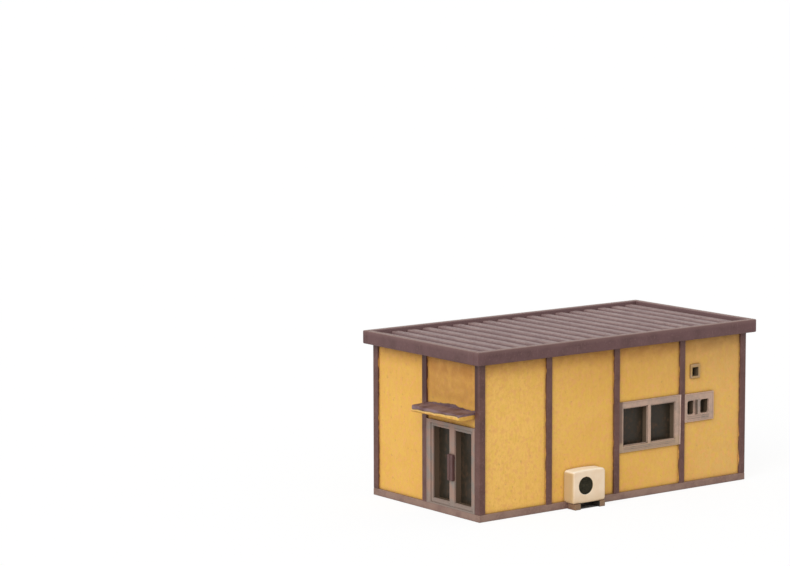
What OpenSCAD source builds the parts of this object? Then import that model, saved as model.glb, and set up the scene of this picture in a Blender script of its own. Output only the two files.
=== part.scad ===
// Scale model of a prefabricated site cabin: brown framing, yellow panels, a flat ribbed roof
// behind a fascia, a double door under a small canopy, two windows, a vent and an outdoor unit.
// Millimetres at the model's own size. The origin is the middle of the cabin's underside.
// X runs along the long sides away from the door end, -Y is the front with the windows, +Z is up.

/* [Cabin] */
// Spacing of the battens on the long sides
bay_l = 12.1; // [10:0.1:16]
// Number of bays along the long sides
bay_count = 4; // [4:1:8]
// Width over the corner posts
cab_w = 23.8; // [20:0.1:32]
// Distance from the front corner to the batten on the end walls
end_bay = 12.1; // [10:0.1:16]
// Height of the walls, from the ground to the fascia
wall_h = 21.35; // [18:0.05:30]
// Thickness of the wall panels
wall_t = 0.95; // [0.6:0.05:1.5]
// Thickness of the floor plate
floor_t = 0.8; // [0.5:0.1:2]

/* [Framing] */
// How far battens, posts and base strips stand out from the panels
frame_out = 0.32; // [0.15:0.01:0.6]
// Width of the battens
batten_w = 0.95; // [0.6:0.05:1.6]
// How much narrower a corner post is than panel and framing together
post_step = 0.22; // [0.05:0.01:0.3]
// Height of the base strips
base_h = 1.0; // [0.6:0.1:2]

/* [Roof] */
// How far the fascia overhangs the corner posts
overhang = 1.0; // [0.3:0.05:3]
// Width of the fascia, seen from above
rim_w = 0.95; // [0.5:0.05:2]
// Thickness of the roof deck under its ribs
deck_t = 1.05; // [0.5:0.05:1.5]
// Height of the ribs
rib_h = 0.35; // [0.15:0.05:0.8]
// Number of ribs
rib_count = 18; // [10:1:24]
// Width of a rib's top
rib_top = 1.2; // [0.6:0.05:1.3]
// Width added to each side of a rib at its foot
rib_flare = 0.2; // [0:0.05:0.3]
// Rise of the fascia above the ribs
rim_rise = 0.45; // [0.1:0.05:1]

/* [Window] */
// Height of the window frame's underside
win_z = 6.55; // [4:0.05:9]
// Height of the window frame
win_h = 7.05; // [4:0.05:9]
// Width of the head and sill
win_rail = 0.84; // [0.4:0.02:1.2]
// Width of the jamb nearer the door end
win_jamb_a = 0.74; // [0.4:0.02:1.5]
// Width of the jamb nearer the far end
win_jamb_b = 0.76; // [0.4:0.02:1.5]
// Width of the middle stile
win_stile = 0.5; // [0.3:0.05:1.5]
// How far the window frames stand out from the panels
win_out = 0.24; // [0.1:0.01:0.5]
// Thickness of the window frames' lining in the wall
lining = 0.15; // [0.08:0.01:0.3]

/* [Small window] */
// Width of the small window's frame
small_w = 5.5; // [4.5:0.1:6]
// Height of the small window's frame
small_h = 4.0; // [2.5:0.1:6]
// Height of the small frame's underside
small_z = 9.5; // [7:0.1:12]
// Width of its head and sill
small_rail = 1.0; // [0.4:0.05:1.2]
// Width of the jamb beside the batten
small_jamb_a = 0.55; // [0.2:0.05:1.2]
// Width of the jamb nearer the far end
small_jamb_b = 0.85; // [0.4:0.05:1.5]
// Width of its middle stile
small_stile = 1.05; // [0.4:0.05:1.5]
// How far that stile stands off centre, towards the batten
small_stile_off = 0.15; // [0:0.05:0.4]

/* [Vent] */
// Distance from the batten's middle line to the vent's middle
vent_x = 2.5; // [1.5:0.1:4]
// Height of the vent's middle
vent_z = 16.65; // [15.5:0.05:17]
// Width of the vent's frame
vent_w = 1.7; // [1:0.1:3]
// Height of the vent's frame
vent_h = 1.95; // [1:0.05:3]
// Width of the frame round the vent's hole
vent_rail = 0.26; // [0.2:0.02:0.4]

/* [Door] */
// Height of the door frame's top
door_top = 12.6; // [10:0.1:15]
// Width of the door jamb beside the corner post
door_jamb_a = 0.45; // [0.2:0.05:1.5]
// Width of the door jamb beside the batten
door_jamb_b = 0.9; // [0.2:0.05:1.5]
// Width of the door frame's head
door_head = 0.45; // [0.2:0.05:1]
// Height of the threshold
door_sill = 0.2; // [0.1:0.05:0.6]
// Width of a leaf's outer stile
leaf_outer = 0.39; // [0.2:0.01:1]
// Width of a leaf's meeting stile
leaf_inner = 0.55; // [0.4:0.01:1]
// Height of a leaf's top rail
leaf_top = 0.35; // [0.2:0.05:1]
// Height of a leaf's bottom rail
leaf_bottom = 0.54; // [0.4:0.02:2]
// How far the leaves are set back from the door frame's face
leaf_set = 0.1; // [0.02:0.01:0.2]
// How far the door frame is set back from the framing's face
door_set = 0.04; // [0.01:0.01:0.1]

/* [Door handles] */
// Width of a pull handle
pull_w = 0.54; // [0.4:0.02:1]
// Height of a pull handle
pull_h = 3.6; // [2:0.1:6]
// Height of the handles' lower ends
pull_z = 4.8; // [3:0.1:6]
// How far the handles stand out from the leaves
pull_out = 0.4; // [0.2:0.05:0.8]
// Gap between the two handles
pull_gap = 0.08; // [0.04:0.02:0.4]

/* [Canopy] */
// How far the canopy reaches out from the panel
canopy_out = 3.1; // [1.5:0.1:5]
// Height of the canopy's top where it meets the wall
canopy_z = 14.8; // [14.4:0.1:17]
// Fall of the canopy towards its front edge
canopy_fall = 0.1; // [0:0.05:0.8]
// Thickness of the canopy
canopy_t = 0.5; // [0.3:0.05:1]
// Thickness of the board under the canopy
soffit_t = 0.35; // [0.2:0.05:0.6]
// Set-back of that board from the canopy's front edge and ends
soffit_in = 0.05; // [0.02:0.01:0.5]
// Gap between the canopy's ends and the framing beside it
canopy_gap = 0.04; // [0.02:0.01:0.3]

/* [Outdoor unit] */
// Distance from the batten's middle line to the unit's nearer end
unit_x = 2.9; // [1:0.01:4]
// Width of the unit
unit_w = 5.84; // [4:0.02:6]
// Depth of the unit, from the wall panel
unit_d = 1.9; // [1.2:0.1:4]
// Height of the unit's case
unit_h = 4.6; // [3:0.1:6]
// Diameter of the fan opening
fan_d = 2.5; // [1.5:0.1:2.8]
// Distance of the fan's middle from the unit's nearer end
fan_x = 2.3; // [1.7:0.05:3]
// Height of the fan's middle
fan_z = 3.2; // [2.5:0.1:4]
// Depth of the fan opening
fan_depth = 0.6; // [0.3:0.05:1]
// Set-back of the fan guard in its opening
guard_set = 0.12; // [0.05:0.01:0.4]
// Thickness of the fan guard
guard_t = 0.2; // [0.1:0.05:0.4]
// Width of a foot rail
foot_w = 1.0; // [0.5:0.1:1.5]
// Height of the foot rails
foot_h = 0.8; // [0.4:0.1:1]
// Set-back of the foot rails from the case's ends
foot_in = 0.25; // [0:0.05:1]
// How far the foot rails reach in front of the case
foot_out = 0.2; // [0:0.05:1]

/* [Glazing] */
// Thickness of the glazing sheets
glass_t = 0.4; // [0.2:0.05:0.8]
// How far the glazing laps the wall round an opening
glass_lap = 0.5; // [0.3:0.05:1]

/* [Hidden] */

cut = 1;                              // how far a cutting tool runs past what it cuts
cab_l = bay_l * bay_count;            // length over the corner posts
shell = frame_out + wall_t;           // from the framing's face to the walls' inner face
post_w = shell - post_step;           // side of a corner post
fascia_h = deck_t + rib_h + rim_rise; // height of the fascia
half_b = batten_w / 2;

win_bay = 2;                          // the window fills the bay after this batten
small_bay = 3;                        // the small window and the vent are beside this batten
unit_bay = 1;                         // the outdoor unit stands in the bay after this batten
win_a = win_bay * bay_l + half_b;
win_b = (win_bay + 1) * bay_l - half_b;
small_a = small_bay * bay_l + half_b;
vent_a = small_bay * bay_l + vent_x - vent_w / 2;

// Frames round an opening: two ends from the corner, two heights, then the widths of the
// jamb at each end and of the rails
WINDOW = [win_a, win_b, win_z, win_z + win_h, win_jamb_a, win_jamb_b, win_rail];
SMALL = [small_a, small_a + small_w, small_z, small_z + small_h,
         small_jamb_a, small_jamb_b, small_rail];
VENT = [vent_a, vent_a + vent_w, vent_z - vent_h / 2, vent_z + vent_h / 2,
        vent_rail, vent_rail, vent_rail];

door_a = post_w;                      // the door frame's sides, from the front corner
door_b = end_bay - half_b;
leaf_w = (door_b - door_a - door_jamb_a - door_jamb_b) / 2;
door_mid = door_a + door_jamb_a + leaf_w;
leaf_z = base_h + door_sill;
leaf_h = door_top - door_head - leaf_z;

unit_a = unit_bay * bay_l + unit_x;

BROWN = [0.36, 0.25, 0.25];
LIGHT_BROWN = [0.50, 0.40, 0.38];
YELLOW = [0.86, 0.68, 0.34];
GREY = [0.66, 0.58, 0.55];
DARK = [0.10, 0.09, 0.08];
CREAM = [0.90, 0.82, 0.70];

// ---- Places -------------------------------------------------------------------------------

// Front side: x from the door end's corner, y inwards from the framing's face
module on_front() {
    translate([-cab_l / 2, -cab_w / 2, 0]) children();
}

// Rear side, as a half turn of the front
module on_rear() {
    rotate([0, 0, 180]) on_front() children();
}

// Door end: x from the front corner, y inwards from the framing's face
module on_door_end() {
    translate([-cab_l / 2, -cab_w / 2, 0]) rotate([0, 0, 90]) mirror([0, 1, 0]) children();
}

// Far end, as a half turn of the door end
module on_far_end() {
    rotate([0, 0, 180]) on_door_end() children();
}

// ---- Framing ------------------------------------------------------------------------------

// A base strip between two distances from the corner
module base_strip(a, b) {
    color(LIGHT_BROWN) translate([a, 0, 0]) cube([b - a, frame_out, base_h]);
}

// A batten centred on a distance from the corner
module batten(x) {
    color(BROWN) translate([x - half_b, 0, base_h]) cube([batten_w, frame_out, wall_h - base_h]);
}

// A corner post, whose foot stands behind the base strips
module corner_post() {
    core = post_w - frame_out;
    color(BROWN) union() {
        translate([0, 0, base_h]) cube([post_w, post_w, wall_h - base_h]);
        translate([frame_out, frame_out, 0]) cube([core, core, wall_h]);
    }
}

// ---- Walls and floor ----------------------------------------------------------------------

// A wall that fits between two posts, and whose inner face meets the walls round the corners
module wall_panel(length) {
    translate([post_w, frame_out, 0])
        cube([length - 2 * post_w, post_w - frame_out, wall_h]);
    translate([shell, frame_out, 0]) cube([length - 2 * shell, wall_t, wall_h]);
}

// A block with a side's face in front: two ends, two heights and two depths
module block(ends, heights, depths) {
    translate([ends[0], depths[0], heights[0]])
        cube([ends[1] - ends[0], depths[1] - depths[0], heights[1] - heights[0]]);
}

// A hole through the wall and whatever stands on it
module wall_cut(ends, heights) {
    block(ends, heights, [-cut, shell + cut]);
}

// The ends and heights of the clear opening inside a frame, grown by an edge on every side
function clear_ends(f, edge = 0) = [f[0] + f[4] - edge, f[1] - f[5] + edge];
function clear_heights(f, edge = 0) = [f[2] + f[6] - edge, f[3] - f[6] + edge];

module front_wall() {
    color(YELLOW) on_front() difference() {
        wall_panel(cab_l);
        for (f = [WINDOW, SMALL, VENT]) wall_cut(clear_ends(f, lining), clear_heights(f, lining));
    }
}

module rear_wall() {
    color(YELLOW) on_rear() wall_panel(cab_l);
}

module door_end_wall() {
    color(YELLOW) on_door_end() difference() {
        wall_panel(cab_w);
        wall_cut([door_a - cut, door_b], [base_h, door_top]);
    }
}

module far_end_wall() {
    color(YELLOW) on_far_end() wall_panel(cab_w);
}

module floor_plate() {
    color(BROWN) translate([shell - cab_l / 2, shell - cab_w / 2, 0])
        cube([cab_l - 2 * shell, cab_w - 2 * shell, floor_t]);
}

// ---- Roof ---------------------------------------------------------------------------------

deck_l = cab_l + 2 * (overhang - rim_w);
deck_w = cab_w + 2 * (overhang - rim_w);
rib_pitch = deck_l / rib_count;

// The deck's section along the cabin: a flat underside and a ribbed top
function rib_points(i) =
    let (mid = (i + 0.5) * rib_pitch, foot = rib_top / 2 + rib_flare)
    [[mid - foot, deck_t], [mid - rib_top / 2, deck_t + rib_h],
     [mid + rib_top / 2, deck_t + rib_h], [mid + foot, deck_t]];

module roof_deck() {
    outline = concat(
        [[0, 0], [0, deck_t]],
        [for (i = [0 : rib_count - 1]) each rib_points(i)],
        [[deck_l, deck_t], [deck_l, 0]]
    );
    color(LIGHT_BROWN) translate([-deck_l / 2, deck_w / 2, wall_h])
        rotate([90, 0, 0]) linear_extrude(deck_w) polygon(outline);
}

// A fascia along one side, running over the corners by the given length at each end
module fascia(length, past) {
    color(BROWN) translate([-past, -overhang, wall_h])
        cube([length + 2 * past, rim_w, fascia_h]);
}

// ---- Windows and vent ---------------------------------------------------------------------

// A moulded frame: a face that stands out from the panel, and a lining through the wall
module opening_frame(f) {
    block([f[0], f[1]], [f[2], f[3]], [frame_out - win_out, frame_out]);
    block(clear_ends(f, lining), clear_heights(f, lining), [frame_out - win_out, shell]);
}

// Two panes' holes with a stile between them, which may stand off centre
module pane_pair(f, stile, off = 0) {
    ends = clear_ends(f);
    mid = (ends[0] + ends[1]) / 2 - off;
    wall_cut([ends[0], mid - stile / 2], clear_heights(f));
    wall_cut([mid + stile / 2, ends[1]], clear_heights(f));
}

// A glazing sheet behind the wall, lapping the opening in a frame
module glazing(f) {
    color(DARK) block(clear_ends(f, lining + glass_lap), clear_heights(f, lining + glass_lap),
                      [shell, shell + glass_t]);
}

module window_frame() {
    color(GREY) on_front() difference() {
        opening_frame(WINDOW);
        pane_pair(WINDOW, win_stile);
    }
}

module window_glass() {
    on_front() glazing(WINDOW);
}

module small_window_frame() {
    color(GREY) on_front() difference() {
        opening_frame(SMALL);
        pane_pair(SMALL, small_stile, small_stile_off);
    }
}

module small_window_glass() {
    on_front() glazing(SMALL);
}

module vent_frame() {
    color(GREY) on_front() difference() {
        opening_frame(VENT);
        wall_cut(clear_ends(VENT), clear_heights(VENT));
    }
}

// ---- Door ---------------------------------------------------------------------------------

module door_frame() {
    color(GREY) on_door_end() difference() {
        block([door_a, door_b], [base_h, door_top], [door_set, shell]);
        wall_cut([door_a + door_jamb_a, door_b - door_jamb_b], [leaf_z, leaf_z + leaf_h]);
    }
}

// A leaf with one tall pane, between its outer stile and its meeting stile
module leaf(outer, meeting) {
    ends = [min(outer, meeting), max(outer, meeting)];
    side = sign(meeting - outer);
    pane = [outer + side * leaf_outer, meeting - side * leaf_inner];
    color(GREY) on_door_end() difference() {
        block(ends, [leaf_z, leaf_z + leaf_h], [door_set + leaf_set, shell]);
        wall_cut([min(pane), max(pane)], [leaf_z + leaf_bottom, leaf_z + leaf_h - leaf_top]);
    }
}

module door_front_leaf() {
    leaf(door_mid - leaf_w, door_mid);
}

module door_rear_leaf() {
    leaf(door_mid + leaf_w, door_mid);
}

module door_glass() {
    color(DARK) on_door_end()
        block([door_mid - leaf_w, door_mid + leaf_w], [leaf_z, leaf_z + leaf_h],
              [shell, shell + glass_t]);
}

// A pull handle on a meeting stile, starting at a distance from the corner
module handle(a) {
    face = door_set + leaf_set;
    color(BROWN) on_door_end()
        block([a, a + pull_w], [pull_z, pull_z + pull_h], [face - pull_out, face]);
}

module door_front_handle() {
    handle(door_mid - pull_gap / 2 - pull_w);
}

module door_rear_handle() {
    handle(door_mid + pull_gap / 2);
}

// ---- Canopy -------------------------------------------------------------------------------

// A sloping slab over the door, drawn across its fall and extruded along the wall
module slab_over_door(outline, inset) {
    on_door_end() translate([door_a + canopy_gap + inset, frame_out, canopy_z])
        rotate([90, 0, 90]) linear_extrude(door_b - door_a - 2 * (canopy_gap + inset))
            polygon(outline);
}

module canopy() {
    color(BROWN) slab_over_door([
        [0, 0], [0, -canopy_t],
        [-canopy_out, -canopy_t - canopy_fall], [-canopy_out, -canopy_fall]
    ], 0);
}

module canopy_soffit() {
    reach = canopy_out - soffit_in;
    drop = canopy_fall * reach / canopy_out;
    color(YELLOW) slab_over_door([
        [0, -canopy_t], [0, -canopy_t - soffit_t],
        [-reach, -canopy_t - soffit_t - drop], [-reach, -canopy_t - drop]
    ], soffit_in);
}

// ---- Outdoor unit -------------------------------------------------------------------------

// A round hole or disc in the unit's front, between two depths behind it
module fan_disc(from, to) {
    translate([unit_a + fan_x, frame_out - unit_d + to, fan_z])
        rotate([90, 0, 0]) cylinder(h = to - from, d = fan_d, $fn = 48);
}

// The case, whose back reaches over the base strip to the panel
module unit_case() {
    ends = [unit_a, unit_a + unit_w];
    top = foot_h + unit_h;
    color(CREAM) on_front() difference() {
        union() {
            block(ends, [foot_h, top], [frame_out - unit_d, 0]);
            block(ends, [max(foot_h, base_h), top], [frame_out - unit_d, frame_out]);
        }
        fan_disc(-cut, fan_depth);
    }
}

module unit_fan_guard() {
    color(DARK) on_front() fan_disc(guard_set, guard_set + guard_t);
}

// A foot rail from the base strip to just in front of the case
module unit_foot(a) {
    color(BROWN) on_front()
        block([a, a + foot_w], [0, foot_h], [frame_out - unit_d - foot_out, 0]);
}

module unit_foot_1() {
    unit_foot(unit_a + foot_in);
}

module unit_foot_2() {
    unit_foot(unit_a + unit_w - foot_in - foot_w);
}

// ---- Named pieces placed along the sides --------------------------------------------------

module front_base_strip() { on_front() base_strip(0, cab_l); }
module rear_base_strip() { on_rear() base_strip(0, cab_l); }
module door_end_base_strip() { on_door_end() base_strip(frame_out, cab_w - frame_out); }
module far_end_base_strip() { on_far_end() base_strip(frame_out, cab_w - frame_out); }

module front_door_end_post() { on_front() corner_post(); }
module front_far_end_post() { mirror([1, 0, 0]) on_front() corner_post(); }
module rear_door_end_post() { mirror([0, 1, 0]) on_front() corner_post(); }
module rear_far_end_post() { on_rear() corner_post(); }

module front_batten(i) { on_front() batten(i * bay_l); }
module rear_batten(i) { on_rear() batten(cab_l - i * bay_l); }
module door_end_batten() { on_door_end() batten(end_bay); }
module far_end_batten() { on_far_end() batten(cab_w - end_bay); }

module front_fascia() { on_front() fascia(cab_l, overhang); }
module rear_fascia() { on_rear() fascia(cab_l, overhang); }
module door_end_fascia() { on_door_end() fascia(cab_w, overhang - rim_w); }
module far_end_fascia() { on_far_end() fascia(cab_w, overhang - rim_w); }

// ---- The cabin ----------------------------------------------------------------------------

floor_plate();
front_base_strip();
rear_base_strip();
door_end_base_strip();
far_end_base_strip();
front_door_end_post();
front_far_end_post();
rear_door_end_post();
rear_far_end_post();
front_wall();
rear_wall();
door_end_wall();
far_end_wall();
front_batten(1);  // front_batten_1
front_batten(2);  // front_batten_2
front_batten(3);  // front_batten_3
rear_batten(1);  // rear_batten_1
rear_batten(2);  // rear_batten_2
rear_batten(3);  // rear_batten_3
door_end_batten();
far_end_batten();
roof_deck();
front_fascia();
rear_fascia();
door_end_fascia();
far_end_fascia();
window_frame();
window_glass();
small_window_frame();
small_window_glass();
vent_frame();
door_frame();
door_front_leaf();
door_rear_leaf();
door_glass();
door_front_handle();
door_rear_handle();
canopy();
canopy_soffit();
unit_case();
unit_fan_guard();
unit_foot_1();
unit_foot_2();
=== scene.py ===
import math

import bmesh
import bpy
from mathutils import Euler, Matrix, Vector, noise


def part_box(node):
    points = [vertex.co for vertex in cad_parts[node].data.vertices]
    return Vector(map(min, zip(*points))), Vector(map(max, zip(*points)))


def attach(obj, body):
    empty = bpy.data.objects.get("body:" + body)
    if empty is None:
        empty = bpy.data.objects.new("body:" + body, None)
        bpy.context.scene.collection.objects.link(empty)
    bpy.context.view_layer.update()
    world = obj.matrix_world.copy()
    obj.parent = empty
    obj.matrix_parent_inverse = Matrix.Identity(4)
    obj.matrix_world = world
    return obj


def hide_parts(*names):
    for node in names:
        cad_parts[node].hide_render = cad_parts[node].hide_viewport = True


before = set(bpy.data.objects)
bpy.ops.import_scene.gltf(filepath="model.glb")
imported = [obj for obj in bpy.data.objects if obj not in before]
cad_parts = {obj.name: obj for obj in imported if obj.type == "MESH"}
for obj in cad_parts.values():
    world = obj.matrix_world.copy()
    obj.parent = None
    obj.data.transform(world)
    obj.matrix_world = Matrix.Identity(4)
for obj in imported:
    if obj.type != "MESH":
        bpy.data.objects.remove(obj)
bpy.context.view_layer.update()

# A scale model of a site cabin: brown framing, painted yellow panels with fine vertical ribs,
# pinkish grey frames, a ribbed roof and a cream outdoor unit. Lengths below are millimetres
# of the model unless they say otherwise.

MM = 0.001
BODY = "root"

# ---- The frame's own places ----


def box_mm(node):
    """A node's lowest and highest corner, in millimetres."""
    low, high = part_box(node)
    return Vector(low) / MM, Vector(high) / MM


PANEL_X = box_mm("far_end_wall")[1].x  # faces of the panels on the end walls
PANEL_Y = box_mm("rear_wall")[1].y  # faces of the panels on the long sides
EAVES = box_mm("front_wall")[1].z  # underside of the fascia
BASE = box_mm("front_base_strip")[1].z  # top of the base strips
RIM = box_mm("front_fascia")[1].z  # top of the fascia
RIB_H = 0.35  # height of the roof's ribs
RIB_TOP = box_mm("roof_deck")[1].z

# ---- Colours, as they look in plain light, and tones of painted light and shade ----


def srgb(red, green, blue):
    """A colour given in screen values from 0 to 255, as the shaders want it."""
    def linear(value):
        value /= 255
        return value / 12.92 if value <= 0.04045 else ((value + 0.055) / 1.055) ** 2.4
    return linear(red), linear(green), linear(blue), 1.0


YELLOW = srgb(234, 185, 91)
YELLOW_WARM = srgb(226, 170, 82)
YELLOW_LIT = srgb(254, 205, 110)
YELLOW_LEMON = srgb(236, 194, 84)
YELLOW_PINK = srgb(238, 176, 108)
YELLOW_DIM = srgb(222, 182, 118)
YELLOW_SHADE = srgb(182, 127, 62)
YELLOW_SHADE_FAR = srgb(184, 140, 78)
YELLOW_LIP = srgb(210, 158, 66)
LIP_UNDER_SHADE = srgb(162, 112, 48)
LIP_SHINE = srgb(218, 182, 118)
YELLOW_EDGE_SHADE = srgb(196, 150, 78)
PALE_SPECK = srgb(236, 214, 150)
FLECK = srgb(186, 142, 84)
CORNER_SHADE = srgb(136, 98, 50)
BROWN = srgb(98, 68, 68)
BROWN_DARK = srgb(86, 58, 57)
BROWN_LIGHT = srgb(122, 92, 88)
BROWN_LIT_TOP = srgb(148, 122, 112)
RIM_INSIDE_LIT = srgb(118, 92, 92)
BROWN_UNLIT = srgb(66, 35, 31)
FRAMING = srgb(99, 67, 60)
FRAMING_DARK = srgb(86, 56, 50)
HANDLE = srgb(91, 63, 61)
CANOPY = srgb(134, 110, 114)
FOOT = srgb(138, 110, 82)
STRIP = srgb(143, 116, 103)
STRIP_LIGHT = srgb(156, 128, 113)
STRIP_DARK = srgb(125, 97, 87)
REVEAL = srgb(100, 84, 68)
REVEAL_DOOR = srgb(98, 80, 64)
UNIT_SHADOW = srgb(34, 30, 25)
RIB_LIT = srgb(150, 126, 122)
RIB_DIM = srgb(132, 108, 106)
GROOVE_SHADE = srgb(108, 84, 84)
GREY = srgb(186, 157, 139)
GREY_SHADE = srgb(124, 98, 84)
JAMB_SHADE = srgb(98, 72, 60)
SILL_SHADE = srgb(178, 152, 125)
DOOR_DULL = srgb(142, 126, 116)
GREY_WARM = srgb(194, 162, 143)
GREY_COOL = srgb(166, 144, 130)
GREY_DULL = srgb(136, 126, 118)
GREY_DOOR = srgb(156, 127, 113)
GREY_VENT = srgb(178, 143, 95)
GREY_PINK = srgb(206, 176, 162)
GREY_DEEP_SHADE = srgb(92, 76, 66)
GLASS = srgb(50, 44, 35)
GLASS_BROWN = srgb(76, 58, 44)
CREAM = srgb(240, 218, 190)
CREAM_WARM = srgb(232, 202, 168)
CREAM_SHADE = srgb(198, 168, 121)
CREAM_LIT_TOP = srgb(250, 240, 220)
BLACK = srgb(56, 53, 41)
BLACK_DUSTY = srgb(74, 70, 55)
HOLE = srgb(110, 92, 70)
HOLE_DUSTY = srgb(84, 72, 55)

# ---- Materials ----
# Sizes of noise, heights of bump and places are millimetres. The other numbers are shares.

EDGE_SAMPLES = 4
CORNER_SAMPLES = 6


class Nodes:
    """A tree of nodes. Each call adds a node and returns what it puts out."""

    def __init__(self, tree):
        self.nodes = tree.nodes
        self.links = tree.links

    def source(self, kind, output):
        return self.nodes.new(kind).outputs[output]

    def feed(self, socket, value):
        if isinstance(value, bpy.types.NodeSocket):
            self.links.new(value, socket)
        else:
            socket.default_value = value

    def math(self, operation, first, second=0.0, clamp=False):
        node = self.nodes.new("ShaderNodeMath")
        node.operation = operation
        node.use_clamp = clamp
        self.feed(node.inputs[0], first)
        self.feed(node.inputs[1], second)
        return node.outputs[0]

    def product(self, first, second):
        return self.math("MULTIPLY", first, second)

    def vector(self, operation, first, second, output="Vector"):
        node = self.nodes.new("ShaderNodeVectorMath")
        node.operation = operation
        self.feed(node.inputs[0], first)
        self.feed(node.inputs[1], second)
        return node.outputs[output]

    def split(self, value):
        node = self.nodes.new("ShaderNodeSeparateXYZ")
        self.feed(node.inputs[0], value)
        return node.outputs

    def ramp(self, value, low, high, out_low=0.0, out_high=1.0, shape="SMOOTHSTEP"):
        """A step from low to high."""
        node = self.nodes.new("ShaderNodeMapRange")
        node.interpolation_type = shape
        self.feed(node.inputs["Value"], value)
        self.feed(node.inputs["From Min"], low)
        self.feed(node.inputs["From Max"], high)
        node.inputs["To Min"].default_value = out_low
        node.inputs["To Max"].default_value = out_high
        return node.outputs["Result"]

    def mix(self, factor, first, second):
        node = self.nodes.new("ShaderNodeMix")
        node.data_type = "RGBA"
        self.feed(node.inputs[0], factor)
        self.feed(node.inputs[6], first)
        self.feed(node.inputs[7], second)
        return node.outputs[2]


class Finish(Nodes):
    """A material of the cabin, with the places x, y and z in millimetres."""

    def __init__(self, name, roughness, specular):
        self.material = bpy.data.materials.new(name)
        self.material.use_nodes = True
        super().__init__(self.material.node_tree)
        self.shader = self.nodes["Principled BSDF"]
        self.shader.inputs["Roughness"].default_value = roughness
        self.shader.inputs["Specular IOR Level"].default_value = specular
        self.place = self.vector("MULTIPLY", self.source("ShaderNodeTexCoord", "Object"),
                                 (1 / MM, 1 / MM, 1 / MM))
        self.x, self.y, self.z = self.split(self.place)

    def noise(self, size, detail=3.0, stretch=(1.0, 1.0, 1.0), rough=0.5):
        """Noise about 0.5 whose blots have the given size, longer where stretch is over 1."""
        node = self.nodes.new("ShaderNodeTexNoise")
        scale = tuple(1 / (size * s) for s in stretch)
        self.feed(node.inputs["Vector"], self.vector("MULTIPLY", self.place, scale))
        node.inputs["Scale"].default_value = 1.0
        node.inputs["Detail"].default_value = detail
        node.inputs["Roughness"].default_value = rough
        return node.outputs["Fac"]

    def normal(self):
        """The way that a face points."""
        return self.source("ShaderNodeNewGeometry", "Normal")

    def above_panels(self):
        """How far a point stands out from the panels' faces."""
        beyond_x = self.math("SUBTRACT", self.math("ABSOLUTE", self.x), PANEL_X)
        beyond_y = self.math("SUBTRACT", self.math("ABSOLUTE", self.y), PANEL_Y)
        return self.math("MAXIMUM", beyond_x, beyond_y)

    def edge(self, width):
        """1 on edges and corners, 0 on flat faces."""
        bevel = self.nodes.new("ShaderNodeBevel")
        bevel.samples = EDGE_SAMPLES
        bevel.inputs["Radius"].default_value = width * MM
        alike = self.vector("DOT_PRODUCT", bevel.outputs[0], self.normal(), "Value")
        return self.ramp(alike, 0.98, 0.80)

    def corner(self, width):
        """1 deep in corners and under what stands out, 0 in the open; it places painted shade."""
        node = self.nodes.new("ShaderNodeAmbientOcclusion")
        node.samples = CORNER_SAMPLES
        node.inputs["Distance"].default_value = width * MM
        return self.ramp(node.outputs["AO"], 0.95, 0.35)

    def finish(self, colour, height=None, depth=0.01, roughness=None):
        """Puts the colour, a bump of the given depth and a roughness on the surface."""
        self.feed(self.shader.inputs["Base Color"], colour)
        if height is not None:
            bump = self.nodes.new("ShaderNodeBump")
            bump.inputs["Distance"].default_value = depth * MM
            self.feed(bump.inputs["Height"], height)
            self.feed(self.shader.inputs["Normal"], bump.outputs[0])
        if roughness is not None:
            self.feed(self.shader.inputs["Roughness"], roughness)
        return self.material


def shaded_bay(f):
    """1 on the door end between the canopy and the eaves, 0 elsewhere."""
    low, high = box_mm("canopy")
    edge = box_mm("door_end_batten")[1].y
    along = f.product(f.ramp(f.y, edge + 0.1, edge), f.ramp(f.z, low.z, high.z + 1.5))
    behind_post = f.ramp(f.y, -PANEL_Y, -PANEL_Y + 0.1)
    along = f.product(along, f.ramp(f.z, EAVES - 0.02, EAVES - 0.06))
    return f.product(f.product(along, behind_post), f.ramp(f.x, -PANEL_X + 0.3, -PANEL_X + 0.1))


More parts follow.
